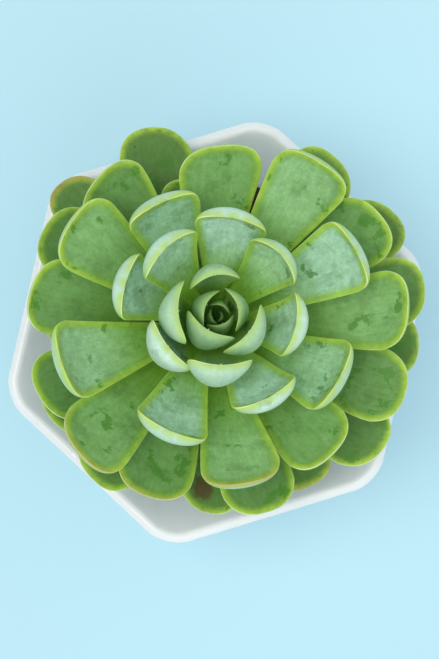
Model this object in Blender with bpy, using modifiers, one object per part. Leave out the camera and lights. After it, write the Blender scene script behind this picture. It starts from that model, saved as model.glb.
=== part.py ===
"""A potted rosette succulent: leaves on one spiral, a short stem, potting mix and a hexagonal bowl.

Lengths are in millimetres in the constants and functions and become metres where a mesh is made.
The origin is the middle of the bowl's flat base, +Z is up, and +Y points to the back.
"""

import math

import bmesh
import bpy
import numpy as np
from mathutils import Matrix

MM = 0.001
GAP = 0.3

# The bowl: a hexagon that opens upwards, with one wall thickness all over.
RIM_FLATS = 100.0
BASE_FLATS = 48.0
BOWL_HEIGHT = 46.0
WALL = 3.2
CORNER_RADIUS = 11.0
CORNER_SEGMENTS = 5
EDGE_ROUND = 1.35
BOWL_TURN = 17.0
HOLE_DIAMETER = 7.0
HOLE_CIRCLE = 12.5
HOLE_COUNT = 3

# The potting mix fills the bowl to well under the rim.
SOIL_DEPTH = 17.0
SOIL_DOME = 1.6

# The plant stands in the mix and leans a little towards the light.
LEAN = 8.0
LEAN_TOWARDS = 50.0
PLANTED_AT = (-4.0, -1.0)
STEM_ROOTED = 12.0
STEM_TOP = 43.5
STEM_TIP = 0.5
STEM_SIDES = 16
STEM_AGES = (1, 5, 9, 13, 17, 24, 30, 40, 55)
STEM_TAPER = ((0.9, 10), (0.8, 0), (0.7, -STEM_ROOTED))
LEAF_TO_STEM = 0.57

# The leaves follow one another round the stem by the golden angle, youngest first.
GOLDEN_ANGLE = 137.7
FIRST_AZIMUTH = 121.0
LAST_LEAF = 55
FALLEN = (45, 50, 52, 54)

# How a leaf changes with its age, which is its number from the bud outwards.
AGE = (1, 4, 8, 12, 16, 19, 22, 26, 32, 40, 55)
LENGTH = (6, 11, 18, 25.5, 29.5, 35, 39.5, 43, 45, 45, 44)
WIDTH = (2.8, 7.2, 12.5, 15.8, 17.5, 18.5, 19.4, 20.2, 20.4, 20.2, 20.2)
THICKNESS = (0.9, 1.9, 3.6, 5.0, 5.8, 6.0, 6.0, 5.6, 5.2, 4.8, 4.4)
BASE_RISE = (84, 76, 62, 46, 32, 27, 24, 21, 16, 11, 7)
TIP_RISE = (98, 106, 114, 106, 86, 78, 70, 52, 34, 16, 4)
CUP = (0.5, 0.46, 0.38, 0.26, 0.17, 0.13, 0.11, 0.1, 0.09, 0.08, 0.06)
TIP_SQUARENESS = (16, 18, 20, 24, 30, 30, 25, 15, 11, 10, 9)
TIP_CORNER = (4, 4, 4, 5, 6.5, 6.5, 5, 3, 2.5, 2.3, 2.2)
BEND_POWER = (1.8, 1.8, 1.8, 2.2, 2.8, 3, 3, 2.6, 2, 1.8, 1.8)
BASE_RADIUS = (0.9, 2.1, 3.4, 4.0, 4.6, 5.0, 5.4, 5.8, 6.3, 6.8, 7.2)
BASE_DROP = (0.0, 0.8, 2.2, 4.2, 6.4, 8.0, 9.8, 12.0, 15.2, 19.0, 25.0)

# Leaves that differ from the rule: turned or lifted by degrees, and longer or wider by a share.
OWN = {
    5: {"length": 1.15, "width": 1.18},
    6: {"length": 1.05, "width": 1.12},
    7: {"length": 1.18, "width": 1.2},
    8: {"length": 1.1, "lift": -6},
    9: {"length": 1.08, "width": 1.1},
    10: {"length": 1.05, "width": 1.1, "turn": -2},
    11: {"length": 1.18, "turn": -3, "lift": -14},
    12: {"length": 1.05, "lift": 4},
    13: {"length": 1.04, "width": 1.05, "turn": 0, "lift": -6},
    14: {"length": 0.93, "width": 0.94, "turn": -3},
    15: {"length": 0.88, "width": 0.88, "turn": -1, "lift": 13},
    16: {"length": 0.93, "turn": 4},
    17: {"length": 0.86, "width": 0.94},
    18: {"length": 0.8, "width": 0.9, "lift": 2},
    19: {"length": 1.1, "lift": -7},
    20: {"length": 0.95, "width": 0.96, "lift": 2},
    21: {"length": 0.84, "width": 0.98, "turn": 8},
    22: {"length": 0.88},
    23: {"length": 1.04, "turn": 4},
    24: {"length": 1.12},
    26: {"length": 0.97, "turn": 7},
    27: {"length": 1.07, "turn": -1},
    28: {"length": 1.07},
    29: {"length": 0.92, "width": 1.05},
    30: {"length": 0.94},
    31: {"length": 0.96},
    32: {"length": 1.02, "turn": -3, "lift": 2},
    33: {"length": 0.96, "turn": -8},
    34: {"length": 0.93, "width": 1.08, "turn": 10, "lift": 2.5},
    35: {"length": 1.04, "turn": -3},
    36: {"length": 0.94},
    37: {"length": 1.04, "turn": -13, "lift": -2},
    38: {"length": 0.98, "turn": -3},
    39: {"length": 0.94},
    40: {"length": 1.09, "turn": -4, "lift": 2},
    41: {"length": 0.96, "turn": -3},
    42: {"length": 0.7, "width": 0.72, "turn": 3, "lift": 3},
    43: {"length": 1.06, "turn": 3},
    44: {"length": 0.78, "turn": -3},
    46: {"length": 0.92, "width": 0.84, "turn": 3, "lift": -1},
    47: {"length": 1.02, "width": 0.84, "turn": 7, "lift": -5},
    48: {"length": 1.06, "turn": 3},
    49: {"length": 0.9, "turn": -5},
    51: {"length": 0.93, "turn": 4, "lift": -2},
    53: {"length": 1.12, "turn": 8, "lift": 6},
    55: {"length": 1.06, "width": 1.03, "turn": 0, "lift": 7.5},
}

# Leaf outline, as shares of its own length and width.
NECK_WIDTH = 0.27
NECK_THICKNESS = 0.42
SHOULDER = 0.86
TIP_THINNING = 0.4
BASE_SQUARENESS = 10.0
POINT_LENGTH = 0.4
FACE_BULGE = 0.08
LEAF_ROUND = 10
LEAF_RINGS = 9

COLOURS = {
    "glaze": (0.86, 0.86, 0.85, 1.0),
    "mix": (0.055, 0.035, 0.022, 1.0),
    "stem": (0.22, 0.17, 0.10, 1.0),
    "leaf": (0.19, 0.36, 0.14, 1.0),
}


def clear_scene():
    """Empties the scene of whatever it started with."""
    for thing in list(bpy.data.objects):
        bpy.data.objects.remove(thing, do_unlink=True)


def material(name, colour, roughness):
    """A plain painted surface for one kind of piece."""
    made = bpy.data.materials.new(name)
    made.use_nodes = True
    shader = made.node_tree.nodes["Principled BSDF"]
    shader.inputs["Base Color"].default_value = colour
    shader.inputs["Roughness"].default_value = roughness
    shader.inputs["Metallic"].default_value = 0.0
    return made


def new_object(name, mesh_data, collection, finish=None, parent=None):
    """Links an object for one piece, with its finish and its parent."""
    made = bpy.data.objects.new(name, mesh_data)
    collection.objects.link(made)
    if finish is not None:
        mesh_data.materials.append(finish)
    made.parent = parent
    return made


def mesh_from(bm, name):
    """Turns a finished bmesh into smooth-shaded mesh data."""
    data = bpy.data.meshes.new(name)
    bm.to_mesh(data)
    bm.free()
    data.shade_smooth()
    data.set_sharp_from_angle(angle=math.radians(35))
    return data


# ---------------------------------------------------------------- bowl


def flats_at(height):
    """The bowl's outer width across flats at a height."""
    return BASE_FLATS + (RIM_FLATS - BASE_FLATS) * height / BOWL_HEIGHT


def wall_inset():
    """How much narrower the inside is across flats than the outside, at one height."""
    half_slope = (RIM_FLATS - BASE_FLATS) / 2 / BOWL_HEIGHT
    return 2 * WALL * math.hypot(1.0, half_slope)


def hexagon_frustum(low_flats, high_flats, low, high, corner, capped=True):
    """A hexagonal frustum between two heights with rounded upright corners, as a bmesh."""
    bm = bmesh.new()
    to_corner = 1 / math.sqrt(3)
    turn = Matrix.Rotation(math.radians(BOWL_TURN - 30), 4, "Z")
    bmesh.ops.create_cone(
        bm,
        cap_ends=True,
        segments=6,
        radius1=low_flats * to_corner * MM,
        radius2=high_flats * to_corner * MM,
        depth=(high - low) * MM,
        matrix=Matrix.Translation((0, 0, (low + high) / 2 * MM)) @ turn,
    )
    uprights = [e for e in bm.edges if abs(e.verts[0].co.z - e.verts[1].co.z) > MM]
    bmesh.ops.bevel(
        bm,
        geom=uprights,
        offset=corner * math.tan(math.radians(30)) * MM,
        segments=CORNER_SEGMENTS,
        profile=0.5,
        affect="EDGES",
    )
    if not capped:
        top = [f for f in bm.faces if f.normal.z > 0.9]
        bmesh.ops.delete(bm, geom=top, context="FACES_ONLY")
    return bm


def round_edges(thing, width, segments):
    """Rounds the sharp edges of a piece."""
    bevel = thing.modifiers.new("rounded edges", "BEVEL")
    bevel.width = width * MM
    bevel.segments = segments
    bevel.limit_method = "ANGLE"
    bevel.angle_limit = math.radians(35)


def cut_away(thing, cutter):
    """Takes a cutter's shape out of a piece."""
    cutter.hide_render = True
    cutter.display_type = "WIRE"
    boolean = thing.modifiers.new("cut by " + cutter.name, "BOOLEAN")
    boolean.operation = "DIFFERENCE"
    boolean.solver = "EXACT"
    boolean.object = cutter


def build_bowl(parts, cutters, glaze):
    """The glazed bowl with its rounded rim and three drain holes."""
    shell = hexagon_frustum(
        BASE_FLATS, RIM_FLATS, 0, BOWL_HEIGHT, CORNER_RADIUS, capped=False
    )
    bowl = new_object("pot", mesh_from(shell, "pot"), parts, glaze)
    wall = bowl.modifiers.new("wall", "SOLIDIFY")
    wall.thickness = WALL * MM
    wall.offset = -1
    wall.use_even_offset = True
    round_edges(bowl, EDGE_ROUND, 3)
    for number in range(HOLE_COUNT):
        angle = math.radians(BOWL_TURN + 360 / HOLE_COUNT * number)
        bm = bmesh.new()
        bmesh.ops.create_cone(
            bm,
            cap_ends=True,
            segments=16,
            radius1=HOLE_DIAMETER / 2 * MM,
            radius2=HOLE_DIAMETER / 2 * MM,
            depth=4 * WALL * MM,
        )
        drill = new_object(f"drill_{number + 1}", mesh_from(bm, "drill"), cutters)
        drill.location = (
            HOLE_CIRCLE * math.cos(angle) * MM,
            HOLE_CIRCLE * math.sin(angle) * MM,
            0,
        )
        cut_away(bowl, drill)
    return bowl


# ---------------------------------------------------------------- plant


def soil_level():
    """Height of the mix at the wall."""
    return BOWL_HEIGHT - SOIL_DEPTH


def build_mix(parts, cutters, finish, plant):
    """The potting mix, domed in the middle, with a socket for the rooted end of the stem."""
    inset = wall_inset() + 2 * GAP
    low = WALL + GAP
    bm = hexagon_frustum(
        flats_at(low) - inset,
        flats_at(soil_level()) - inset,
        low,
        soil_level(),
        CORNER_RADIUS - WALL / 2,
    )
    top = [f for f in bm.faces if f.normal.z > 0.9]
    middle = bmesh.ops.poke(bm, faces=top)["verts"]
    bmesh.ops.translate(bm, verts=middle, vec=(0, 0, SOIL_DOME * MM))
    mix = new_object("potting_mix", mesh_from(bm, "potting_mix"), parts, finish)
    round_edges(mix, EDGE_ROUND + GAP, 2)
    socket = turned("stem_socket", stem_profile(GAP), cutters, None, plant)
    cut_away(mix, socket)
    return mix


def aged(values, age):
    """A leaf measure at an age, between the values set for the ages in AGE."""
    return float(np.interp(age, AGE, values))


def stem_profile(extra=0.0):
    """Radius and height pairs down the stem's side, grown outwards by extra for its socket."""
    side = [
        (aged(BASE_RADIUS, a) - LEAF_TO_STEM, STEM_TOP - aged(BASE_DROP, a)) for a in STEM_AGES
    ]
    foot = side[-1][0]
    side += [(foot * share, height) for share, height in STEM_TAPER]
    points = [(0, side[0][1] + STEM_TIP)] + [(r + extra, z) for r, z in side]
    low = points[-1][0]
    return points[:-1] + [(low, -STEM_ROOTED - extra), (0, -STEM_ROOTED - extra)]


def turned(name, profile, collection, finish, parent):
    """A turned piece about its own Z axis, from a profile that runs down its outer side."""
    bm = bmesh.new()
    ring = [bm.verts.new((r * MM, 0, z * MM)) for r, z in profile]
    for above, below in zip(ring, ring[1:]):
        bm.edges.new((above, below))
    data = bpy.data.meshes.new(name)
    bm.to_mesh(data)
    bm.free()
    made = new_object(name, data, collection, finish, parent)
    screw = made.modifiers.new("turn", "SCREW")
    screw.steps = STEM_SIDES
    screw.render_steps = STEM_SIDES
    screw.use_merge_vertices = True
    screw.merge_threshold = 0.00005
    screw.use_smooth_shade = True
    return made


def own(number, trait):
    """How one leaf differs from the rule for its age."""
    plain = {"turn": 0, "length": 1, "width": 1, "lift": 0}
    return OWN.get(number, {}).get(trait, plain[trait])


def leaf_azimuth(number):
    """Which way a leaf points, in degrees from +X."""
    return FIRST_AZIMUTH - GOLDEN_ANGLE * number + own(number, "turn")


def smooth(t):
    """Eases from 0 to 1."""
    t = np.clip(t, 0, 1)
    return t * t * (3 - 2 * t)


def end_rounding(s, squareness, corner):
    """Closes a leaf's section at its base and its broad tip."""
    tip = np.clip(1 - s**squareness, 0, 1)
    base = np.clip(1 - (1 - s) ** BASE_SQUARENESS, 0, 1)
    return tip ** (1 / corner) * np.sqrt(base)


def widening(s):
    """How broad a leaf is along its length, from its neck to its shoulder."""
    t = np.clip(s / SHOULDER, 0, 1)
    return NECK_WIDTH + (1 - NECK_WIDTH) * (3 * t + smooth(t)) / 4


def leaf_mesh(number):
    """One leaf in the plant's frame: a ball drawn out along the leaf's rising midline."""
    length = aged(LENGTH, number) * own(number, "length")
    width = aged(WIDTH, number) * own(number, "width")
    thick = aged(THICKNESS, number)
    rises = [aged(r, number) + own(number, "lift") for r in (BASE_RISE, TIP_RISE)]
    bm = bmesh.new()
    bmesh.ops.create_uvsphere(
        bm,
        u_segments=LEAF_ROUND,
        v_segments=LEAF_RINGS,
        radius=1,
        matrix=Matrix.Rotation(math.radians(90), 4, "Y"),
    )
    ball = np.array([v.co for v in bm.verts])
    s = np.clip((ball[:, 0] + 1) / 2, 0, 1)
    ring = np.maximum(np.hypot(ball[:, 1], ball[:, 2]), 1e-6)
    across, up = ball[:, 1] / ring, ball[:, 2] / ring

    squareness = aged(TIP_SQUARENESS, number)
    half = width / 2 * widening(s) * end_rounding(s, squareness, aged(TIP_CORNER, number))
    fullness = NECK_THICKNESS + (1 - NECK_THICKNESS) * smooth(s / 0.6)
    fullness *= 1 - TIP_THINNING * smooth((s - 0.5) / 0.5)
    depth = thick * fullness * end_rounding(s, squareness, 2)
    side = half * across
    rise = np.where(up > 0, FACE_BULGE, 1.0) * depth * up
    rise += aged(CUP, number) * side**2 / (width / 2) * smooth(s / 0.5)

    steps = np.linspace(0, 1, 41)
    angle = np.radians(rises[0] + (rises[1] - rises[0]) * steps ** aged(BEND_POWER, number))
    run = np.concatenate([[0], np.cumsum(np.cos((angle[1:] + angle[:-1]) / 2))]) / 40
    climb = np.concatenate([[0], np.cumsum(np.sin((angle[1:] + angle[:-1]) / 2))]) / 40
    here = np.interp(s, steps, angle)
    point = POINT_LENGTH * (ball[:, 0] > 0.9999)
    out = length * np.interp(s, steps, run) - rise * np.sin(here) + point * np.cos(here)
    high = length * np.interp(s, steps, climb) + rise * np.cos(here) + point * np.sin(here)
    out += aged(BASE_RADIUS, number)
    high += STEM_TOP - aged(BASE_DROP, number)

    turn = math.radians(leaf_azimuth(number))
    for vert, o, a, h in zip(bm.verts, out, side, high):
        vert.co = (
            (o * math.cos(turn) - a * math.sin(turn)) * MM,
            (o * math.sin(turn) + a * math.cos(turn)) * MM,
            h * MM,
        )
    return mesh_from(bm, f"leaf_{number:02d}")


def build_plant(parts, cutters, finishes):
    """The stem, the growing tip and every leaf, on an empty that leans."""
    plant = bpy.data.objects.new("plant", None)
    parts.objects.link(plant)
    plant.location = (PLANTED_AT[0] * MM, PLANTED_AT[1] * MM, soil_level() * MM)
    towards = math.radians(LEAN_TOWARDS)
    axis = (-math.sin(towards), math.cos(towards), 0)
    plant.rotation_mode = "AXIS_ANGLE"
    plant.rotation_axis_angle = (math.radians(LEAN), *axis)
    turned("stem", stem_profile(), parts, finishes["stem"], plant)
    for number in range(1, LAST_LEAF + 1):
        if number not in FALLEN:
            new_object(f"leaf_{number:02d}", leaf_mesh(number), parts, finishes["leaf"], plant)
    return plant


def main():
    """Builds every piece."""
    clear_scene()
    parts = bpy.data.collections.new("potted succulent")
    cutters = bpy.data.collections.new("cutters")
    for collection in (parts, cutters):
        bpy.context.scene.collection.children.link(collection)
    finishes = {name: material(name, colour, 0.5) for name, colour in COLOURS.items()}
    build_bowl(parts, cutters, finishes["glaze"])
    plant = build_plant(parts, cutters, finishes)
    build_mix(parts, cutters, finishes["mix"], plant)


main()
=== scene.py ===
"""Looks for a potted rosette succulent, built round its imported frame.

Every piece is modelled in the frame's own place: a smooth, finely shaped leaf for each leaf of
the frame, the glazed bowl, the potting mix and the stem. Sizes are millimetres in the fields
below and become metres when a mesh is made.
"""

import logging
import math
from dataclasses import dataclass, field
from enum import Enum
from typing import Any, Callable

import bmesh
import bpy
import numpy as np
from mathutils import Matrix, Vector, kdtree, noise


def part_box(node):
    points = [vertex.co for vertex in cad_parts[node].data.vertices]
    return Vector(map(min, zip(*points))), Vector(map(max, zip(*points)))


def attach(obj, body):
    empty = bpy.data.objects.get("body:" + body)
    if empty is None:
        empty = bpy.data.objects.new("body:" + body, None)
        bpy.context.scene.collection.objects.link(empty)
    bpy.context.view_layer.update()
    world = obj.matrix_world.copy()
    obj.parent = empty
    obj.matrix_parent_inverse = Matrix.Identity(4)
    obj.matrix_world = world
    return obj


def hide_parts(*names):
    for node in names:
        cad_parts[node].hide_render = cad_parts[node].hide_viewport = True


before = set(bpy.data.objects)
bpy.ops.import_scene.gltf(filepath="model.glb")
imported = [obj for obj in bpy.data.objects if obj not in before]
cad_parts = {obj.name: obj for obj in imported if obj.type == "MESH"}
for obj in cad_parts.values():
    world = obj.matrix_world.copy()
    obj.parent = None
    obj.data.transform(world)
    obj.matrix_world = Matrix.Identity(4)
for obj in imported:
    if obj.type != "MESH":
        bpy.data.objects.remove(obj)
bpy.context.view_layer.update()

MM = 0.001
# One unit of a leaf's own map is this wide, and its patterns are drawn out this much along it.
MAP_MM = 40.0
MAP_STRETCH = 5.0
LOG = logging.getLogger("succulent")

Colour = tuple[float, float, float, float]


# ---------------------------------------------------------------- shared helpers


def paint(hex_value: str) -> Colour:
    """Turns an sRGB hex colour into the linear colour a shader takes.

    Args:
        hex_value: six hex digits with a leading hash.

    Returns:
        Red, green, blue and alpha, linear.
    """
    parts = [int(hex_value[i : i + 2], 16) / 255 for i in (1, 3, 5)]
    linear = [c / 12.92 if c <= 0.04045 else ((c + 0.055) / 1.055) ** 2.4 for c in parts]
    return (linear[0], linear[1], linear[2], 1.0)


def add_node(
    tree: bpy.types.NodeTree,
    kind: str,
    inputs: dict[Any, Any] | None = None,
    stops: list[tuple[float, Colour]] | None = None,
    **settings: Any,
) -> bpy.types.Node:
    """Adds one node with its settings, its values and its links.

    Args:
        tree: the material's node tree.
        kind: the node's type name without the "ShaderNode" in front.
        inputs: input name or number to a value, or to the socket that feeds it.
        stops: the places and colours of a colour ramp.
        **settings: the node's own options.

    Returns:
        The new node.
    """
    node = tree.nodes.new("ShaderNode" + kind)
    for option, value in settings.items():
        setattr(node, option, value)
    for key, value in (inputs or {}).items():
        if isinstance(value, bpy.types.NodeSocket):
            tree.links.new(value, node.inputs[key])
        else:
            node.inputs[key].default_value = value
    if stops:
        ramp = node.color_ramp
        while len(ramp.elements) < len(stops):
            ramp.elements.new(1.0)
        for element, (place, colour) in zip(ramp.elements, stops):
            element.position = place
            element.color = colour
    return node


def blank_material(name: str) -> tuple[bpy.types.Material, bpy.types.NodeTree, bpy.types.Node]:
    """Starts a material.

    Args:
        name: the finish's common name.

    Returns:
        The material, its node tree and its Principled shader.
    """
    made = bpy.data.materials.new(name)
    made.use_nodes = True
    return made, made.node_tree, made.node_tree.nodes["Principled BSDF"]


def finish_piece(
    name: str,
    bm: bmesh.types.BMesh,
    material: bpy.types.Material,
    node: str,
    sharp: float = 180.0,
) -> bpy.types.Object:
    """Makes a piece from its bmesh, in place of one node of the frame.

    Args:
        name: the piece's name.
        bm: its shape in metres in the frame's place; it is freed here.
        material: its finish.
        node: the frame's node that it stands for.
        sharp: edges that bend more than this many degrees stay crisp.

    Returns:
        The new object.
    """
    mesh = bpy.data.meshes.new(name)
    bm.to_mesh(mesh)
    bm.free()
    mesh.shade_smooth()
    if sharp < 180:
        mesh.set_sharp_from_angle(angle=math.radians(sharp))
    mesh.materials.append(material)
    piece = bpy.data.objects.new(name, mesh)
    bpy.context.scene.collection.objects.link(piece)
    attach(piece, "root")
    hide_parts(node)
    LOG.info("%s: %d faces, stands for %s", name, len(mesh.polygons), node)
    return piece


def ease(t: np.ndarray | float) -> np.ndarray:
    """Eases from 0 to 1 as t does."""
    t = np.clip(t, 0, 1)
    return t * t * (3 - 2 * t)


# ---------------------------------------------------------------- finishes


@dataclass(frozen=True)
class LeafSkin:
    """Waxy leaf skin: a thin pale bloom over green flesh, rubbed off where it was touched.

    The bloom makes it matt and bluish; bare skin is darker, greener and a little glossy.
    """

    # Bloom colour by age; the darker first stops, for the youngest leaves deep in the centre, are
    # painted shade of the rosette's core.
    bloom: tuple[tuple[float, str], ...] = (
        (0.0, "#6f9e4a"),
        (0.1, "#86b46a"),
        (0.19, "#a6d49c"),
        (0.28, "#c4ecd9"),
        (0.36, "#aedabb"),
        (0.45, "#8fbf7c"),
        (0.55, "#7aab62"),
        (0.68, "#66924e"),
        (0.9, "#5d863c"),
    )
    # Flesh colour by age; the darker first stop, for the bud's leaves, is painted shade of the
    # rosette's core.
    flesh: tuple[tuple[float, str], ...] = (
        (0.0, "#568a2c"),
        (0.15, "#74aa30"),
        (0.27, "#8cc238"),
        (0.46, "#78aa2c"),
        (0.68, "#629024"),
        (1.0, "#578220"),
    )
    edge: str = "#b2d44c"
    edge_line: str = "#e6eecb"
    back: str = "#c8e6d4"
    bare: str = "#478420"
    tan: str = "#b4694a"
    dried: str = "#5d4526"
    speck: str = "#2f4a22"
    shaded: str = "#48752a"
    sheen: str = "#dcf0e4"
    bloom_roughness: float = 0.55
    bare_roughness: float = 0.32
    darkest: float = 0.82
    lightest: float = 1.13
    edge_mm: float = 2.3
    line_mm: float = 0.3
    tan_mm: float = 1.6
    blotch_mm: float = 6.5
    rub_mm: float = 1000 / 170
    speck_gap_mm: float = 1000 / 150
    mottle_mm: float = 3.2
    streak_mm: float = 1.1
    speckle_mm: float = 0.5
    grain_mm: float = 0.7
    vein_mm: float = 2.2

    def make(self) -> bpy.types.Material:
        """Builds the leaf material.

        Returns:
            The material, which reads each leaf's own attributes.
        """
        made, tree, shader = blank_material("waxy leaf skin with bloom")
        read = {
            name: add_node(tree, "Attribute", attribute_name=name).outputs["Fac"]
            for name in ("margin", "inner", "face", "along", "age", "tan", "dried")
        }
        place = add_node(tree, "TexCoord").outputs["Object"]
        own_map = add_node(tree, "UVMap", uv_map="leaf").outputs["UV"]
        colour = self._face_colour(tree, read, place, own_map)
        bare = self._rubbed(tree, read, place)
        colour = add_node(
            tree, "Mix", {0: bare, 6: colour, 7: paint(self.bare)}, data_type="RGBA"
        ).outputs[2]
        colour = self._blemishes(tree, read, place, colour)
        rough = add_node(
            tree,
            "MapRange",
            {0: bare, 3: self.bloom_roughness, 4: self.bare_roughness},
        ).outputs[0]
        tree.links.new(colour, shader.inputs["Base Color"])
        tree.links.new(rough, shader.inputs["Roughness"])
        tree.links.new(self._bump(tree, place, own_map), shader.inputs["Normal"])
        shader.inputs["Subsurface Weight"].default_value = 0.12
        shader.inputs["Subsurface Radius"].default_value = (0.6, 1.0, 0.25)
        shader.inputs["Subsurface Scale"].default_value = 1.2 * MM
        shader.inputs["Specular IOR Level"].default_value = 0.42
        shader.inputs["Sheen Weight"].default_value = 0.04
        shader.inputs["Sheen Roughness"].default_value = 0.5
        shader.inputs["Sheen Tint"].default_value = paint(self.sheen)
        return made

    def _face_colour(
        self, tree: bpy.types.NodeTree, read: dict[str, Any], place: Any, own_map: Any
    ) -> Any:
        """Colours the upper face, the back and the edge.

        Args:
            tree: the node tree.
            read: sockets of the leaf's attributes.
            place: socket of the object's coordinates.
            own_map: socket of the leaf's own map.

        Returns:
            The colour's socket.
        """
        # Both ramps are darker at the youngest ages, as painted shade of the rosette's centre.
        bloom_and_core_shade, green = (
            add_node(
                tree,
                "ValToRGB",
                {0: read["age"]},
                stops=[(at, paint(colour)) for at, colour in ramp],
            ).outputs[0]
            for ramp in (self.bloom, self.flesh)
        )
        mottle = add_node(
            tree,
            "TexNoise",
            {"Vector": place, "Scale": 1000 / self.mottle_mm, "Detail": 6, "Roughness": 0.66},
        ).outputs[0]
        streaks = add_node(
            tree,
            "TexNoise",
            {"Vector": own_map, "Scale": MAP_MM / self.streak_mm, "Detail": 4, "Roughness": 0.6},
        ).outputs[0]
        # Bloom is thick in the middle of a face and thin at its edges and its narrow foot.
        middle = add_node(
            tree, "MapRange", {0: read["inner"], 1: 0.0, 2: 0.34}, interpolation_type="SMOOTHSTEP"
        ).outputs[0]
        upward = add_node(
            tree, "MapRange", {0: read["along"], 1: 0.2, 2: 0.72}, interpolation_type="SMOOTHSTEP"
        ).outputs[0]
        patchy = add_node(tree, "MapRange", {0: mottle, 1: 0.32, 2: 0.62, 3: 0.72}).outputs[0]
        cover = middle
        for share in (upward, patchy):
            cover = add_node(tree, "Math", {0: cover, 1: share}, operation="MULTIPLY").outputs[0]
        upper = add_node(
            tree, "Mix", {0: cover, 6: green, 7: bloom_and_core_shade}, data_type="RGBA"
        ).outputs[2]
        blotch = add_node(
            tree,
            "TexNoise",
            {"Vector": place, "Scale": 1000 / self.blotch_mm, "Detail": 5, "Roughness": 0.6},
        ).outputs[0]
        blotch = add_node(tree, "MapRange", {0: blotch, 1: 0.5, 2: 0.66, 4: 0.4}).outputs[0]
        upper = add_node(
            tree, "Mix", {0: blotch, 6: upper, 7: paint(self.shaded)}, data_type="RGBA"
        ).outputs[2]
        speckle = add_node(
            tree, "TexNoise", {"Vector": place, "Scale": 1000 / self.speckle_mm, "Detail": 2}
        ).outputs[0]
        speckle = add_node(tree, "Math", {0: speckle, 1: 0.7}, operation="MULTIPLY").outputs[0]
        light = mottle
        for pattern in (streaks, speckle):
            light = add_node(tree, "Math", {0: light, 1: pattern}, operation="ADD").outputs[0]
        light = add_node(
            tree, "MapRange", {0: light, 1: 1.05, 2: 1.65, 3: self.darkest, 4: self.lightest}
        ).outputs[0]
        upper = add_node(
            tree, "Mix", {0: 1.0, 6: upper, 7: light}, data_type="RGBA", blend_type="MULTIPLY"
        ).outputs[2]
        # The bud's leaves have little bloom on their backs and no yellow edge yet.
        grown = add_node(tree, "MapRange", {0: read["age"], 1: 0.05, 2: 0.25}).outputs[0]
        powdered = add_node(tree, "MapRange", {0: grown, 3: 0.08, 4: 0.6}).outputs[0]
        back = add_node(
            tree, "Mix", {0: powdered, 6: upper, 7: paint(self.back)}, data_type="RGBA"
        ).outputs[2]
        skin = add_node(
            tree, "Mix", {0: read["face"], 6: back, 7: upper}, data_type="RGBA"
        ).outputs[2]
        # The edge is thinner, so light comes through it yellow-green, with a pale line on it.
        near = add_node(
            tree,
            "MapRange",
            {0: read["margin"], 1: self.edge_mm, 2: 0.0},
            interpolation_type="SMOOTHSTEP",
        ).outputs[0]
        uneven = add_node(
            tree, "MapRange", {0: mottle, 1: 0.36, 2: 0.6, 3: 0.5, 4: 1.0}
        ).outputs[0]
        free = add_node(
            tree, "MapRange", {0: read["along"], 1: 0.3, 2: 0.9, 3: 0.5, 4: 1.0}
        ).outputs[0]
        yellowed = add_node(tree, "MapRange", {0: grown, 3: 0.15, 4: 1.0}).outputs[0]
        for share in (free, yellowed, uneven):
            near = add_node(tree, "Math", {0: near, 1: share}, operation="MULTIPLY").outputs[0]
        skin = add_node(
            tree, "Mix", {0: near, 6: skin, 7: paint(self.edge)}, data_type="RGBA"
        ).outputs[2]
        broken = add_node(
            tree, "MapRange", {0: streaks, 1: 0.4, 2: 0.6, 3: 0.15, 4: 0.75}
        ).outputs[0]
        broken = add_node(tree, "Math", {0: broken, 1: yellowed}, operation="MULTIPLY").outputs[0]
        line = add_node(
            tree, "MapRange", {0: read["margin"], 1: self.line_mm, 2: 0.05, 4: broken}
        ).outputs[0]
        return add_node(
            tree, "Mix", {0: line, 6: skin, 7: paint(self.edge_line)}, data_type="RGBA"
        ).outputs[2]

    def _rubbed(self, tree: bpy.types.NodeTree, read: dict[str, Any], place: Any) -> Any:
        """Finds where the bloom was rubbed off.

        Args:
            tree: the node tree.
            read: sockets of the leaf's attributes.
            place: socket of the object's coordinates.

        Returns:
            A socket that is 1 on bare skin and 0 under bloom.
        """
        patches = add_node(
            tree,
            "TexNoise",
            {"Vector": place, "Scale": 1000 / self.rub_mm, "Detail": 7, "Roughness": 0.6},
        ).outputs[0]
        older = add_node(tree, "MapRange", {0: read["age"], 1: 0.45, 2: 0.8, 4: 0.05}).outputs[0]
        patches = add_node(tree, "Math", {0: patches, 1: older}, operation="ADD").outputs[0]
        bare = add_node(tree, "MapRange", {0: patches, 1: 0.61, 2: 0.64, 4: 0.7}).outputs[0]
        inner = add_node(tree, "MapRange", {0: read["margin"], 1: 0.5, 2: 0.9}).outputs[0]
        # Fingers and water reach the upper faces, and hardly the backs.
        above = add_node(tree, "MapRange", {0: read["face"], 3: 0.35, 4: 1.0}).outputs[0]
        for share in (above, inner):
            bare = add_node(tree, "Math", {0: bare, 1: share}, operation="MULTIPLY").outputs[0]
        return bare

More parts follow.
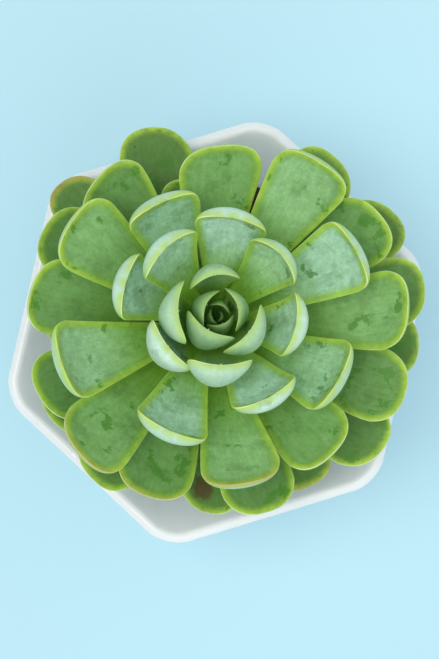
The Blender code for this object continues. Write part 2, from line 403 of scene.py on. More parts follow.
    def _blemishes(
        self, tree: bpy.types.NodeTree, read: dict[str, Any], place: Any, colour: Any
    ) -> Any:
        """Adds sun-tanned tips, a dried patch and small dark specks.

        Args:
            tree: the node tree.
            read: sockets of the leaf's attributes.
            place: socket of the object's coordinates.
            colour: socket of the colour so far.

        Returns:
            The colour's socket.
        """
        rim = add_node(tree, "MapRange", {0: read["margin"], 1: self.tan_mm, 2: 0.1}).outputs[0]
        rim = add_node(tree, "Math", {0: rim, 1: read["tan"]}, operation="MULTIPLY").outputs[0]
        colour = add_node(
            tree, "Mix", {0: rim, 6: colour, 7: paint(self.tan)}, data_type="RGBA"
        ).outputs[2]
        ragged = add_node(
            tree, "TexNoise", {"Vector": place, "Scale": 1000 / self.mottle_mm, "Detail": 3}
        ).outputs[0]
        patch = add_node(tree, "Math", {0: read["dried"], 1: ragged}, operation="ADD").outputs[0]
        patch = add_node(tree, "MapRange", {0: patch, 1: 0.95, 2: 1.15, 4: 0.85}).outputs[0]
        colour = add_node(
            tree, "Mix", {0: patch, 6: colour, 7: paint(self.dried)}, data_type="RGBA"
        ).outputs[2]
        cells = add_node(
            tree, "TexVoronoi", {"Vector": place, "Scale": 1000 / self.speck_gap_mm}
        )
        dot = add_node(
            tree, "MapRange", {0: cells.outputs["Distance"], 1: 0.055, 2: 0.03}
        ).outputs[0]
        few = add_node(tree, "SeparateColor", {0: cells.outputs["Color"]}).outputs[0]
        few = add_node(tree, "MapRange", {0: few, 1: 0.78, 2: 0.8, 4: 0.8}).outputs[0]
        dot = add_node(tree, "Math", {0: dot, 1: few}, operation="MULTIPLY").outputs[0]
        return add_node(
            tree, "Mix", {0: dot, 6: colour, 7: paint(self.speck)}, data_type="RGBA"
        ).outputs[2]

    def _bump(self, tree: bpy.types.NodeTree, place: Any, own_map: Any) -> Any:
        """Roughens the bloom and adds faint lengthwise veins.

        Args:
            tree: the node tree.
            place: socket of the object's coordinates.
            own_map: socket of the leaf's own map.

        Returns:
            The normal's socket.
        """
        grain = add_node(
            tree, "TexNoise", {"Vector": place, "Scale": 1000 / self.grain_mm, "Detail": 3}
        ).outputs[0]
        veins = add_node(
            tree, "TexNoise", {"Vector": own_map, "Scale": MAP_MM / self.vein_mm, "Detail": 2}
        ).outputs[0]
        fine = add_node(
            tree, "Bump", {"Height": grain, "Strength": 0.12, "Distance": 0.15 * MM}
        ).outputs[0]
        return add_node(
            tree,
            "Bump",
            {"Height": veins, "Strength": 0.35, "Distance": 0.35 * MM, "Normal": fine},
        ).outputs[0]


@dataclass(frozen=True)
class WhiteGlaze:
    """White glazed stoneware: glossy and slightly wavy, with a bare matt foot."""

    glaze: str = "#f8f8f7"
    thin_glaze: str = "#f2f1ef"
    clay: str = "#c9bfae"
    wave_mm: float = 14.0
    cloud_mm: float = 22.0
    foot_mm: float = 1.3
    foot_wander_mm: float = 0.4
    foot_ragged_mm: float = 5.0
    glow_mm: float = 8.0
    glossy: float = 0.14
    unglazed: float = 0.85

    def make(self) -> bpy.types.Material:
        """Builds the glaze.

        Returns:
            The material.
        """
        made, tree, shader = blank_material("white glazed stoneware")
        place = add_node(tree, "TexCoord").outputs["Object"]
        cloud = add_node(
            tree, "TexNoise", {"Vector": place, "Scale": 1000 / self.cloud_mm, "Detail": 3}
        ).outputs[0]
        cloud = add_node(tree, "MapRange", {0: cloud, 1: 0.4, 2: 0.7, 4: 0.5}).outputs[0]
        colour = add_node(
            tree,
            "Mix",
            {0: cloud, 6: paint(self.glaze), 7: paint(self.thin_glaze)},
            data_type="RGBA",
        ).outputs[2]
        height = add_node(tree, "SeparateXYZ", {0: place}).outputs[2]
        ragged = add_node(
            tree, "TexNoise", {"Vector": place, "Scale": 1000 / self.foot_ragged_mm, "Detail": 2}
        ).outputs[0]
        wander = self.foot_wander_mm * MM
        ragged = add_node(tree, "MapRange", {0: ragged, 3: -wander, 4: wander}).outputs[0]
        level = add_node(tree, "Math", {0: height, 1: ragged}, operation="ADD").outputs[0]
        foot = add_node(
            tree,
            "MapRange",
            {0: level, 1: self.foot_mm * MM, 2: (self.foot_mm - 0.25) * MM},
        ).outputs[0]
        colour = add_node(
            tree, "Mix", {0: foot, 6: colour, 7: paint(self.clay)}, data_type="RGBA"
        ).outputs[2]
        rough = add_node(tree, "MapRange", {0: foot, 3: self.glossy, 4: self.unglazed}).outputs[0]
        wave = add_node(
            tree, "TexNoise", {"Vector": place, "Scale": 1000 / self.wave_mm, "Detail": 2}
        ).outputs[0]
        bump = add_node(
            tree, "Bump", {"Height": wave, "Strength": 0.3, "Distance": 0.6 * MM}
        ).outputs[0]
        tree.links.new(colour, shader.inputs["Base Color"])
        tree.links.new(rough, shader.inputs["Roughness"])
        tree.links.new(bump, shader.inputs["Normal"])
        shader.inputs["IOR"].default_value = 1.52
        shader.inputs["Subsurface Weight"].default_value = 0.8
        shader.inputs["Subsurface Radius"].default_value = (1.0, 1.0, 1.0)
        shader.inputs["Subsurface Scale"].default_value = self.glow_mm * MM
        return made


@dataclass(frozen=True)
class PottingCompost:
    """Damp potting compost: dark brown crumbs with paler fibres and grit."""

    dark: str = "#2a1c14"
    crumb: str = "#4d3626"
    grit: str = "#9a8d7a"
    crumb_mm: float = 1.8

    def make(self) -> bpy.types.Material:
        """Builds the compost.

        Returns:
            The material.
        """
        made, tree, shader = blank_material("damp potting compost")
        place = add_node(tree, "TexCoord").outputs["Object"]
        crumbs = add_node(
            tree, "TexVoronoi", {"Vector": place, "Scale": 1000 / self.crumb_mm}
        )
        shade = add_node(tree, "SeparateColor", {0: crumbs.outputs["Color"]}).outputs[0]
        colour = add_node(
            tree,
            "ValToRGB",
            {0: shade},
            stops=[
                (0.0, paint(self.dark)),
                (0.7, paint(self.crumb)),
                (0.9, paint(self.crumb)),
                (0.93, paint(self.grit)),
            ],
        ).outputs[0]
        bump = add_node(
            tree,
            "Bump",
            {"Height": crumbs.outputs["Distance"], "Strength": 0.9, "Distance": 0.8 * MM},
            invert=True,
        ).outputs[0]
        tree.links.new(colour, shader.inputs["Base Color"])
        tree.links.new(bump, shader.inputs["Normal"])
        shader.inputs["Roughness"].default_value = 0.92
        return made


@dataclass(frozen=True)
class ScarredStem:
    """Corky stem: brown, with paler rings where older leaves came away."""

    cork: str = "#6a5338"
    scar: str = "#a08b62"
    green: str = "#7c8f4a"
    tip: str = "#3f6a24"
    ring_mm: float = 2.6
    corky_to_mm: float = 58.0
    green_from_mm: float = 68.0

    def make(self) -> bpy.types.Material:
        """Builds the stem's skin.

        Returns:
            The material.
        """
        made, tree, shader = blank_material("corky stem with leaf scars")
        place = add_node(tree, "TexCoord").outputs["Object"]
        squeezed = add_node(
            tree, "Mapping", {"Vector": place, "Scale": (0.45, 0.45, 1.6)}
        ).outputs[0]
        scars = add_node(
            tree, "TexVoronoi", {"Vector": squeezed, "Scale": 1000 / self.ring_mm}
        ).outputs["Distance"]
        colour = add_node(
            tree,
            "ValToRGB",
            {0: scars},
            stops=[(0.1, paint(self.scar)), (0.45, paint(self.cork)), (1.0, paint(self.green))],
        ).outputs[0]
        height = add_node(tree, "SeparateXYZ", {"Vector": place}).outputs["Z"]
        young = add_node(
            tree, "MapRange", {0: height, 1: self.corky_to_mm * MM, 2: self.green_from_mm * MM}
        ).outputs[0]
        colour = add_node(
            tree, "Mix", {0: young, 6: colour, 7: paint(self.tip)}, data_type="RGBA"
        ).outputs[2]
        bump = add_node(
            tree, "Bump", {"Height": scars, "Strength": 0.8, "Distance": 0.6 * MM}
        ).outputs[0]
        tree.links.new(colour, shader.inputs["Base Color"])
        tree.links.new(bump, shader.inputs["Normal"])
        shader.inputs["Roughness"].default_value = 0.8
        return made


# ---------------------------------------------------------------- plant


class Blemish(Enum):
    """Marks that single leaves carry: a tanned tip, or a dried patch behind it."""

    TANNED = "tan"
    DRIED = "dried"


@dataclass
class Growth:
    """How the leaves of the rosette change with age, the same as in the frame.

    A leaf's age is its number from the growing tip outwards.
    """

    golden_angle: float = 137.7
    first_azimuth: float = 121.0
    last_leaf: int = 55
    fallen: tuple[int, ...] = (45, 50, 52, 54)
    stem_top: float = 43.5
    planted_at: tuple[float, float, float] = (-4.0, -1.0, 29.0)
    lean: float = 8.0
    lean_towards: float = 50.0
    age: tuple[float, ...] = (1, 4, 8, 12, 16, 19, 22, 26, 32, 40, 55)
    measures: dict[str, tuple[float, ...]] = field(
        default_factory=lambda: {
            "length": (6, 11, 18, 25.5, 29.5, 35, 39.5, 43, 45, 45, 44),
            "width": (2.8, 7.2, 12.5, 15.8, 17.5, 18.5, 19.4, 20.2, 20.4, 20.2, 20.2),
            "thickness": (0.9, 1.9, 3.6, 5.0, 5.8, 6.0, 6.0, 5.6, 5.2, 4.8, 4.4),
            "base_rise": (84, 76, 62, 46, 32, 27, 24, 21, 16, 11, 7),
            "tip_rise": (98, 106, 114, 106, 86, 78, 70, 52, 34, 16, 4),
            "cup": (0.5, 0.46, 0.38, 0.26, 0.17, 0.13, 0.11, 0.1, 0.09, 0.08, 0.06),
            "tip_squareness": (16, 18, 20, 24, 30, 30, 25, 15, 11, 10, 9),
            "tip_corner": (4, 4, 4, 5, 6.5, 6.5, 5, 3, 2.5, 2.3, 2.2),
            "bend_power": (1.8, 1.8, 1.8, 2.2, 2.8, 3, 3, 2.6, 2, 1.8, 1.8),
            "base_radius": (0.9, 2.1, 3.4, 4.0, 4.6, 5.0, 5.4, 5.8, 6.3, 6.8, 7.2),
            "base_drop": (0.0, 0.8, 2.2, 4.2, 6.4, 8.0, 9.8, 12.0, 15.2, 19.0, 25.0),
        }
    )

    def at(self, measure: str, age: float) -> float:
        """Gives one measure of a leaf of an age."""
        return float(np.interp(age, self.age, self.measures[measure]))

    def numbers(self) -> list[int]:
        """Lists the leaves that are still on the plant."""
        return [n for n in range(1, self.last_leaf + 1) if n not in self.fallen]

    def to_row(self, points: np.ndarray) -> np.ndarray:
        """Leans the plant and stands it in the mix.

        Args:
            points: places in the plant's own frame, in millimetres.

        Returns:
            The places in the frame, in metres.
        """
        towards = math.radians(self.lean_towards)
        axis = Vector((-math.sin(towards), math.cos(towards), 0))
        turn = np.array(Matrix.Rotation(math.radians(self.lean), 3, axis))
        return (points @ turn.T + np.array(self.planted_at)) * MM


# Leaves that differ from the rule: turned or lifted by degrees, and longer or wider by a share.
OWN_WAYS: dict[int, dict[str, float]] = {
    5: {"length": 1.15, "width": 1.18},
    6: {"length": 1.05, "width": 1.12},
    7: {"length": 1.18, "width": 1.2},
    8: {"length": 1.1, "lift": -6},
    9: {"length": 1.08, "width": 1.1},
    10: {"length": 1.05, "width": 1.1, "turn": -2},
    11: {"length": 1.18, "turn": -3, "lift": -14},
    12: {"length": 1.05, "lift": 4},
    13: {"length": 1.04, "width": 1.05, "turn": 0, "lift": -6},
    14: {"length": 0.93, "width": 0.94, "turn": -3},
    15: {"length": 0.88, "width": 0.88, "turn": -1, "lift": 13},
    16: {"length": 0.93, "turn": 4},
    17: {"length": 0.86, "width": 0.94},
    18: {"length": 0.8, "width": 0.9, "lift": 2},
    19: {"length": 1.1, "lift": -7},
    20: {"length": 0.95, "width": 0.96, "lift": 2},
    21: {"length": 0.84, "width": 0.98, "turn": 8},
    22: {"length": 0.88},
    23: {"length": 1.04, "turn": 4},
    24: {"length": 1.12},
    26: {"length": 0.97, "turn": 7},
    27: {"length": 1.07, "turn": -1},
    28: {"length": 1.07},
    29: {"length": 0.92, "width": 1.05},
    30: {"length": 0.94},
    31: {"length": 0.96},
    32: {"length": 1.02, "turn": -3, "lift": 2},
    33: {"length": 0.96, "turn": -8},
    34: {"length": 0.93, "width": 1.08, "turn": 10, "lift": 2.5},
    35: {"length": 1.04, "turn": -3},
    36: {"length": 0.94},
    37: {"length": 1.04, "turn": -13, "lift": -2},
    38: {"length": 0.98, "turn": -3},
    39: {"length": 0.94},
    40: {"length": 1.09, "turn": -4, "lift": 2},
    41: {"length": 0.96, "turn": -3},
    42: {"length": 0.7, "width": 0.72, "turn": 3, "lift": 3},
    43: {"length": 1.06, "turn": 3},
    44: {"length": 0.78, "turn": -3},
    46: {"length": 0.92, "width": 0.84, "turn": 3, "lift": -1},
    47: {"length": 1.02, "width": 0.84, "turn": 7, "lift": -5},
    48: {"length": 1.06, "turn": 3},
    49: {"length": 0.9, "turn": -5},
    51: {"length": 0.93, "turn": 4, "lift": -2},
    53: {"length": 1.12, "turn": 8, "lift": 6},
    55: {"length": 1.06, "width": 1.03, "turn": 0, "lift": 7.5},
}

# Which mark a leaf carries, and how strong it is.
BLEMISHES: dict[int, tuple[Blemish, float]] = {
    25: (Blemish.TANNED, 0.35),
    28: (Blemish.TANNED, 0.3),
    33: (Blemish.TANNED, 0.25),
    47: (Blemish.TANNED, 0.6),
    51: (Blemish.TANNED, 0.3),
    46: (Blemish.DRIED, 0.9),
}


@dataclass
class Leaf:
    """One fleshy leaf: narrow at its foot, broad and blunt at its tip, flat above, full below."""

    number: int
    growth: Growth
    rings: int = 44
    round_count: int = 64
    neck_width: float = 0.27
    neck_thickness: float = 0.42
    shoulder: float = 0.86
    tip_thinning: float = 0.4
    base_squareness: float = 10.0
    edge_height: float = 0.3
    spine_length: float = 0.9
    spine_width: float = 0.5
    spined_until: int = 24
    dish_depth: float = 0.55
    wave_height: float = 0.35
    twist_share: float = 0.05
    skew_share: float = 0.045
    usual_width: float = 21.5
    ring_crowding: float = 1.6
    midline_steps: int = 80
    edge_samples: int = 160
    patch_at: tuple[float, float] = (0.86, -0.3)
    patch_mm: float = 6.0

    def __post_init__(self) -> None:
        """Works out this leaf's measures from its age and its own ways."""
        own = {"turn": 0.0, "lift": 0.0, "length": 1.0, "width": 1.0}
        own.update(OWN_WAYS.get(self.number, {}))
        at = self.growth.at
        self.length = at("length", self.number) * own["length"]
        self.width = at("width", self.number) * own["width"]
        self.thickness = at("thickness", self.number)
        self.rises = [at(r, self.number) + own["lift"] for r in ("base_rise", "tip_rise")]
        self.cup = at("cup", self.number)
        self.tip_squareness = at("tip_squareness", self.number)
        self.tip_corner = at("tip_corner", self.number)
        self.bend_power = at("bend_power", self.number)
        self.azimuth = math.radians(
            self.growth.first_azimuth - self.growth.golden_angle * self.number + own["turn"]
        )
        luck = np.random.default_rng(self.number)
        self.skew, self.twist, self.wave = luck.uniform(-1, 1, 3)
        self.phase = luck.uniform(0, 2 * math.pi)

    def place(self, s: np.ndarray, across: np.ndarray, up: np.ndarray) -> np.ndarray:
        """Puts points of the skin in the frame's place.

        Args:
            s: share of the way from the foot (0) to the tip (1).
            across: -1 at the right edge to 1 at the left edge.
            up: 1 on the upper face's midline, -1 on the back's, 0 at the edge.

        Returns:
            The points in metres, one row each.
        """
        foot = np.clip(1 - (1 - s) ** self.base_squareness, 0, 1)
        tip = np.clip(1 - s**self.tip_squareness, 0, 1)
        grown = np.clip(s / self.shoulder, 0, 1)
        spread = self.neck_width + (1 - self.neck_width) * (3 * grown + ease(grown)) / 4
        half = self.width / 2 * spread * tip ** (1 / self.tip_corner) * np.sqrt(foot)
        fullness = self.neck_thickness + (1 - self.neck_thickness) * ease(s / 0.6)
        fullness *= 1 - self.tip_thinning * ease((s - 0.5) / 0.5)
        depth = self.thickness * fullness * np.sqrt(tip * foot)
        # The last ring before the tip is the foot of a fine spine on the younger leaves.
        spine = (s > 0.9999) * (self.number < self.spined_until)
        half = np.where(spine, np.minimum(half, self.spine_width / 2), half)
        depth = np.where(spine, np.minimum(depth, self.spine_width / 2), depth)
        size = self.width / self.usual_width
        side = half * across
        # A flat face with a softly rounded edge, a shallow dish along it and a full back.
        lip = self.edge_height * size * np.tanh(4 * np.clip(up, 0, 1)) * np.sqrt(foot * tip)
        dish = self.dish_depth * size * (1 - across**2) ** 2 * ease(s / 0.4) * tip
        rise = np.where(up > 0, lip - dish, depth * up)
        rise = rise + self.cup * side**2 / (self.width / 2) * ease(s / 0.5)
        free = ease((s - 0.35) / 0.5)
        slant = side / (self.width / 2)
        rise += self.wave_height * size * self.wave * free * np.sin(5 * s + self.phase) * slant
        rise += self.twist_share * self.twist * side * free
        reach = s + self.skew_share * self.skew * slant * free
        point = self.spine_length * spine * (s > 0.999999)
        return self._bend(s, reach, side, rise, point)

    def _bend(
        self,
        s: np.ndarray,
        reach: np.ndarray,
        side: np.ndarray,
        rise: np.ndarray,
        point: np.ndarray,
    ) -> np.ndarray:
        """Curves the straight leaf upwards along its midline and turns it round the stem.

        Args:
            s: share of the way along, which sets how steep the midline is.
            reach: share of the way along, which sets the place on the midline.
            side: distance to the left of the midline.
            rise: distance above the midline.
            point: how far the small point at the tip stands out.

        Returns:
            The points in metres, one row each.
        """
        count = self.midline_steps
        steps = np.linspace(0, 1, count + 1)
        low, high = self.rises
        angle = np.radians(low + (high - low) * steps**self.bend_power)
        middle = (angle[1:] + angle[:-1]) / 2
        run = np.concatenate([[0], np.cumsum(np.cos(middle))]) / count * self.length
        climb = np.concatenate([[0], np.cumsum(np.sin(middle))]) / count * self.length
        here = np.interp(s, steps, angle)
        beyond = (reach - np.clip(reach, 0, 1)) * self.length + point
        out = np.interp(reach, steps, run) - rise * np.sin(here) + beyond * np.cos(here)
        high_up = np.interp(reach, steps, climb) + rise * np.cos(here) + beyond * np.sin(here)
        out += self.growth.at("base_radius", self.number)
        high_up += self.growth.stem_top - self.growth.at("base_drop", self.number)
        cos, sin = math.cos(self.azimuth), math.sin(self.azimuth)
        points = np.stack([out * cos - side * sin, out * sin + side * cos, high_up], axis=1)
        return self.growth.to_row(points)

    def build(self, skin: bpy.types.Material) -> bpy.types.Object:
        """Models the leaf from a ball drawn out along its midline.

        Args:
            skin: the leaf material.

        Returns:
            The leaf.
        """
        bm = bmesh.new()
        bmesh.ops.create_uvsphere(
            bm,
            u_segments=self.round_count,
            v_segments=self.rings,
            radius=1,
            matrix=Matrix.Rotation(math.radians(90), 4, "Y"),
        )
        ball = np.array([v.co for v in bm.verts])
        ring = np.maximum(np.hypot(ball[:, 1], ball[:, 2]), 1e-6)
        # The rings crowd towards the tip, where the small point is.
        s = 1 - np.clip((1 - ball[:, 0]) / 2, 0, 1) ** self.ring_crowding
        across, up = ball[:, 1] / ring, ball[:, 2] / ring
        across, up = np.where(ring > 1e-4, across, 0), np.where(ring > 1e-4, up, 0)
        places = self.place(s, across, up)
        for vert, at in zip(bm.verts, places):
            vert.co = at
        self._lay_map(bm, s, across)
        node = f"leaf_{self.number:02d}"
        piece = finish_piece(f"rosette_{node}", bm, skin, node)
        self._mark(piece.data, s, up, places)
        low, high = (np.array(corner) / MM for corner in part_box(node))
        drift = max(
            np.abs(places.min(axis=0) / MM - low).max(),
            np.abs(places.max(axis=0) / MM - high).max(),
        )
        LOG.info("%s keeps within %.1f mm of the frame's box", piece.name, drift)
        return piece

    def _lay_map(self, bm: bmesh.types.BMesh, s: np.ndarray, across: np.ndarray) -> None:
        """Lays the leaf's own map, in which streaks run from foot to tip.

        Args:
            bm: the leaf's shape.
            s: share of the way along, per vertex.
            across: place across, per vertex.
        """
        layer = bm.loops.layers.uv.new("leaf")
        bm.verts.index_update()
        for face in bm.faces:
            for loop in face.loops:
                i = loop.vert.index
                loop[layer].uv = (
                    across[i] * self.width / 2 / MAP_MM + self.number,
                    s[i] * self.length / MAP_MM / MAP_STRETCH,
                )

    def _mark(
        self, mesh: bpy.types.Mesh, s: np.ndarray, up: np.ndarray, places: np.ndarray
    ) -> None:
        """Stores what the leaf's material reads at each vertex.

        Args:
            mesh: the leaf's mesh.
            s: share of the way along, per vertex.
            up: height on the section, per vertex.
            places: the vertices in metres.
        """
        ball = (1 - np.cos(np.linspace(0, math.pi, self.edge_samples))) / 2
        along_edge = np.concatenate([1 - (1 - ball) ** self.ring_crowding] * 2)
        sides = np.repeat([-1.0, 1.0], self.edge_samples)
        edge = self.place(along_edge, sides, np.zeros(2 * self.edge_samples))
        tree = kdtree.KDTree(len(edge))
        for i, at in enumerate(edge):
            tree.insert(at, i)
        tree.balance()
        margin = np.array([tree.find(at)[2] for at in places]) / MM
        kind, amount = BLEMISHES.get(self.number, (Blemish.TANNED, 0.0))
        tip = ease((s - 0.8) / 0.2) * amount
        behind, aside = self.patch_at
        spot = self.place(np.array([behind]), np.array([aside]), np.zeros(1))
        from_spot = np.linalg.norm((places - spot)[:, :2], axis=1) / MM
        patch = (1 - ease(from_spot / self.patch_mm)) * amount
        values = {
            "margin": margin,
            "inner": np.clip(margin / (self.width / 2), 0, 1),
            "face": 0.5 + 0.5 * np.tanh(6 * up),
            "along": s,
            "age": np.full(len(s), self.number / self.growth.last_leaf),
            "tan": tip if kind is Blemish.TANNED else tip * 0,
            "dried": patch if kind is Blemish.DRIED else patch * 0,
        }
        for name, numbers in values.items():
            layer = mesh.attributes.new(name, "FLOAT", "POINT")
            layer.data.foreach_set("value", numbers.astype(np.float32))


@dataclass
class Rosette:
    """All the leaves on their stem."""

    growth: Growth = field(default_factory=Growth)
    skin: LeafSkin = field(default_factory=LeafSkin)
    bark: ScarredStem = field(default_factory=ScarredStem)
    rooted: float = 12.0
    stem_sides: int = 48
    leaf_to_stem: float = 0.57
    scar_pitch: float = 2.4
    scar_height: float = 0.012
    stem_tip: float = 0.5

    def build(self) -> None:
        """Builds the stem and every leaf."""
        skin = self.skin.make()
        for number in self.growth.numbers():
            Leaf(number, self.growth).build(skin)
        self._stem()

    def _stem(self) -> bpy.types.Object:
        """Turns the stem's side about its axis, with a ridge under each leaf scar."""
        growth = self.growth
        ages = np.linspace(1, growth.last_leaf, 40)
        side = [
            (
                growth.at("base_radius", a) - self.leaf_to_stem,
                growth.stem_top - growth.at("base_drop", a),
            )
            for a in ages
        ]
        foot = side[-1][0]
        below = np.linspace(side[-1][1] - 0.8, 0, 28)
        taper = np.interp(below, (0, 10, side[-1][1]), (0.8, 0.9, 1.0))
        ridges = 1 + self.scar_height * np.sin(below * 2 * math.pi / self.scar_pitch)
        side += list(zip(foot * taper * ridges, below))
        side.append((foot * 0.7, -self.rooted))
        bm = bmesh.new()
        chain = [bm.verts.new((0, 0, side[0][1] + self.stem_tip))]
        chain += [bm.verts.new((r, 0, z)) for r, z in side]
        chain.append(bm.verts.new((0, 0, -self.rooted)))
        edges = [bm.edges.new(pair) for pair in zip(chain, chain[1:])]
        bmesh.ops.spin(
            bm,
            geom=chain + edges,
            cent=(0, 0, 0),
            axis=(0, 0, 1),
            angle=2 * math.pi,
            steps=self.stem_sides,
            use_merge=True,
        )
        bmesh.ops.remove_doubles(bm, verts=bm.verts, dist=0.02)
        bmesh.ops.recalc_face_normals(bm, faces=bm.faces)
        places = growth.to_row(np.array([v.co for v in bm.verts]))
        for vert, at in zip(bm.verts, places):
            vert.co = at
        return finish_piece("plant_stem", bm, self.bark.make(), "stem", 50)


# ---------------------------------------------------------------- bowl and mix


@dataclass
class Bowl:
    """A tapered hexagonal bowl with rounded corners and three drain holes."""

    rim_flats: float = 100.0
    base_flats: float = 48.0
    height: float = 46.0
    wall: float = 3.2
    corner_radius: float = 11.0
    corner_segments: int = 14
    edge_round: float = 1.35
    edge_segments: int = 6
    turn: float = 17.0
    hole_diameter: float = 7.0
    hole_circle: float = 12.5
    hole_count: int = 3
    finish: WhiteGlaze = field(default_factory=WhiteGlaze)

    def flats_at(self, height: float) -> float:
        """Gives the outer width across flats at a height."""
        return self.base_flats + (self.rim_flats - self.base_flats) * height / self.height

    def inset(self) -> float:
        """Gives how much narrower the inside is across flats than the outside."""
        slope = (self.rim_flats - self.base_flats) / 2 / self.height
        return 2 * self.wall * math.hypot(1.0, slope)

    def frustum(
        self, low_flats: float, high_flats: float, low: float, high: float, corner: float
    ) -> bmesh.types.BMesh:
        """Models a hexagonal frustum with rounded corners.

        Args:
            low_flats: width across flats at the bottom.
            high_flats: width across flats at the top.
            low: height of the bottom.
            high: height of the top.
            corner: the corners' radius.

        Returns:
            The closed shape, in metres.
        """
        bm = bmesh.new()
        bmesh.ops.create_cone(
            bm,
            cap_ends=True,
            segments=6,
            radius1=low_flats / math.sqrt(3) * MM,
            radius2=high_flats / math.sqrt(3) * MM,
            depth=(high - low) * MM,
            matrix=Matrix.Translation((0, 0, (low + high) / 2 * MM))
            @ Matrix.Rotation(math.radians(self.turn - 30), 4, "Z"),
        )
        bmesh.ops.bevel(
            bm,
            geom=[e for e in bm.edges if abs(e.verts[0].co.z - e.verts[1].co.z) > MM],
            offset=corner * math.tan(math.radians(30)) * MM,
            offset_type="OFFSET",
            segments=self.corner_segments,
            profile=0.5,
            affect="EDGES",
            material=-1,
        )
        return bm

    def build(self) -> bpy.types.Object:
        """Models the bowl: an open shell, a wall, rounded edges and drilled holes.

        Returns:
            The bowl.
        """
        bm = self.frustum(self.base_flats, self.rim_flats, 0, self.height, self.corner_radius)
        lid = [f for f in bm.faces if f.normal.z > 0.9]
        bmesh.ops.delete(bm, geom=lid, context="FACES_ONLY")
        bowl = finish_piece("hexagonal_bowl", bm, self.finish.make(), "pot")
        wall = bowl.modifiers.new("wall", "SOLIDIFY")
        wall.thickness = self.wall * MM
        wall.offset = -1
        wall.use_even_offset = True
        rounding = bowl.modifiers.new("rounded rim and foot", "BEVEL")
        rounding.width = self.edge_round * MM
        rounding.segments = self.edge_segments
        rounding.limit_method = "ANGLE"
        rounding.angle_limit = math.radians(35)
        drills = [self._drill(bowl, number) for number in range(self.hole_count)]
        settled = bpy.data.meshes.new_from_object(
            bowl.evaluated_get(bpy.context.evaluated_depsgraph_get())
        )
        bowl.modifiers.clear()
        bowl.data = settled
        settled.shade_smooth()
        settled.set_sharp_from_angle(angle=math.radians(40))
        for drill in drills:
            bpy.data.objects.remove(drill, do_unlink=True)
        return bowl

    def _drill(self, bowl: bpy.types.Object, number: int) -> bpy.types.Object:
        """Sets up one drain hole.

        Args:
            bowl: the piece to drill.
            number: which hole, from 0.

        Returns:
            The drill, to be removed once the bowl is settled.
        """
        angle = math.radians(self.turn + 360 / self.hole_count * number)
        across = self.hole_circle * MM
        bm = bmesh.new()
        bmesh.ops.create_cone(
            bm,
            cap_ends=True,
            segments=48,
            radius1=self.hole_diameter / 2 * MM,
            radius2=self.hole_diameter / 2 * MM,
            depth=4 * self.wall * MM,
            matrix=Matrix.Translation((across * math.cos(angle), across * math.sin(angle), 0)),
        )
        mesh = bpy.data.meshes.new("drill")
        bm.to_mesh(mesh)
        bm.free()
        drill = bpy.data.objects.new("drill", mesh)
        bpy.context.scene.collection.objects.link(drill)
        cut = bowl.modifiers.new(f"drain hole {number + 1}", "BOOLEAN")
        cut.object = drill
        cut.solver = "EXACT"
        return drill


@dataclass
class Mix:
    """The potting mix in the bowl, crumbly on top."""

    bowl: Bowl
    depth_below_rim: float = 17.0
    gap: float = 0.3
    dome: float = 1.6
    crumb_height: float = 0.9
    crumb_pitch: float = 0.45
    top_cuts: int = 14
    finish: PottingCompost = field(default_factory=PottingCompost)

    def build(self) -> bpy.types.Object:
        """Models the mix.

        Returns:
            The mix.
        """
        bowl = self.bowl
        low, high = bowl.wall + self.gap, bowl.height - self.depth_below_rim
        narrower = bowl.inset() + 2 * self.gap
        bm = bowl.frustum(
            bowl.flats_at(low) - narrower,
            bowl.flats_at(high) - narrower,
            low,
            high,
            bowl.corner_radius - bowl.wall / 2,
        )
        top = [f for f in bm.faces if f.normal.z > 0.9]
        fan = bmesh.ops.poke(bm, faces=top)["faces"]
        bmesh.ops.subdivide_edges(
            bm,
            edges=list({e for f in fan for e in f.edges}),
            cuts=self.top_cuts,
            use_grid_fill=True,
        )
        reach = (bowl.flats_at(high) - narrower) / 2
        for vert in bm.verts:
            if vert.co.z > (high - 0.01) * MM:
                inner = 1 - math.hypot(vert.co.x, vert.co.y) / MM / reach
                crumbs = noise.fractal(vert.co / MM * self.crumb_pitch, 0.8, 2.1, 5)
                lift = self.dome * float(ease(inner)) + self.crumb_height * crumbs
                vert.co.z += lift * float(ease(inner * 6)) * MM
        return finish_piece(
            "potting_compost", bm, self.finish.make(), "potting_mix", 60
        )


# ---------------------------------------------------------------- studio


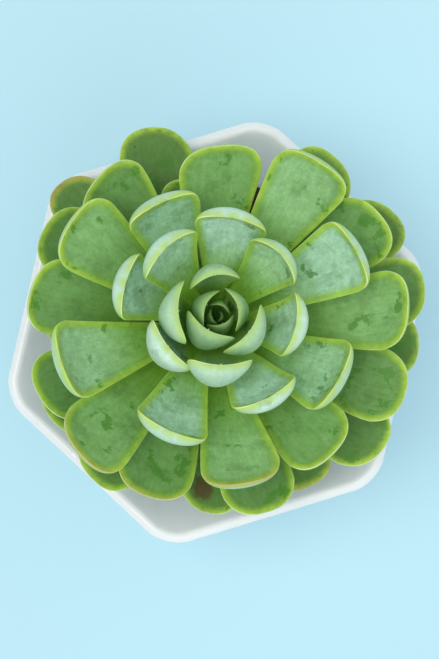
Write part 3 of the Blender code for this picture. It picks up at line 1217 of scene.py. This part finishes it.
@dataclass
class Studio:
    """A pale plain floor, soft lamps and a camera straight above."""

    floor_colour: str = "#b9e0ec"
    floor_size: float = 6.0
    rim_height: float = 46.0
    camera_distance: float = 540.0
    view_width: float = 169.7
    camera_at: tuple[float, float] = (1.0, 0.8)
    sensor: float = 36.0
    sky_colour: str = "#fbfdff"
    sky_strength: float = 0.54

    def build(self) -> None:
        """Sets up the floor, the lamps, the surroundings and the camera."""
        self._floor()
        self._lamp("key", 178, 69, 1.2, 38, "#fffdf8")
        self._lamp("side", 25, 55, 0.42, 60, "#f8fbff")
        self._lamp("fill", -65, 48, 0.65, 60, "#f6faff")
        world = bpy.data.worlds.new("studio")
        bpy.context.scene.world = world
        world.use_nodes = True
        sky = world.node_tree.nodes["Background"]
        sky.inputs[0].default_value = paint(self.sky_colour)
        sky.inputs[1].default_value = self.sky_strength
        bpy.context.scene.view_settings.view_transform = "Standard"
        self._camera()

    def _floor(self) -> None:
        """Lays the floor."""
        bm = bmesh.new()
        bmesh.ops.create_grid(bm, x_segments=1, y_segments=1, size=self.floor_size / 2)
        mesh = bpy.data.meshes.new("floor")
        bm.to_mesh(mesh)
        bm.free()
        made, _, shader = blank_material("pale painted floor")
        shader.inputs["Base Color"].default_value = paint(self.floor_colour)
        shader.inputs["Roughness"].default_value = 0.8
        shader.inputs["Specular IOR Level"].default_value = 0.2
        mesh.materials.append(made)
        floor = bpy.data.objects.new("floor", mesh)
        bpy.context.scene.collection.objects.link(floor)

    def _lamp(
        self,
        name: str,
        azimuth: float,
        elevation: float,
        strength: float,
        spread: float,
        colour: str,
    ) -> None:
        """Hangs one broad, far-off lamp that lights the whole floor evenly.

        Args:
            name: the lamp's name.
            azimuth: its direction from +X, in degrees.
            elevation: its height above the horizon, in degrees.
            strength: its strength, in watts to a square metre.
            spread: how broad it looks from the plant, in degrees.
            colour: its colour.
        """
        data = bpy.data.lights.new(name, "SUN")
        data.energy = strength
        data.angle = math.radians(spread)
        data.color = paint(colour)[:3]
        lamp = bpy.data.objects.new(name, data)
        bpy.context.scene.collection.objects.link(lamp)
        around, up = math.radians(azimuth), math.radians(elevation)
        from_plant = Vector(
            (math.cos(up) * math.cos(around), math.cos(up) * math.sin(around), math.sin(up))
        )
        lamp.location = from_plant
        lamp.rotation_euler = (-from_plant).to_track_quat("-Z", "Y").to_euler()

    def _camera(self) -> None:
        """Hangs the camera over the rosette, looking straight down."""
        data = bpy.data.cameras.new("camera")
        data.sensor_width = self.sensor
        data.lens = self.sensor * self.camera_distance / self.view_width
        data.clip_start = 0.01
        camera = bpy.data.objects.new("camera", data)
        bpy.context.scene.collection.objects.link(camera)
        camera.location = (
            self.camera_at[0] * MM,
            self.camera_at[1] * MM,
            (self.rim_height + self.camera_distance) * MM,
        )
        bpy.context.scene.camera = camera


def main() -> None:
    """Builds every piece and the studio."""
    logging.basicConfig(level=logging.INFO, format="%(name)s: %(message)s")
    builders: list[Callable[[], Any]] = []
    bowl = Bowl()
    builders += [bowl.build, Mix(bowl).build, Rosette().build, Studio().build]
    for build in builders:
        build()


if __name__ == "__main__":
    main()
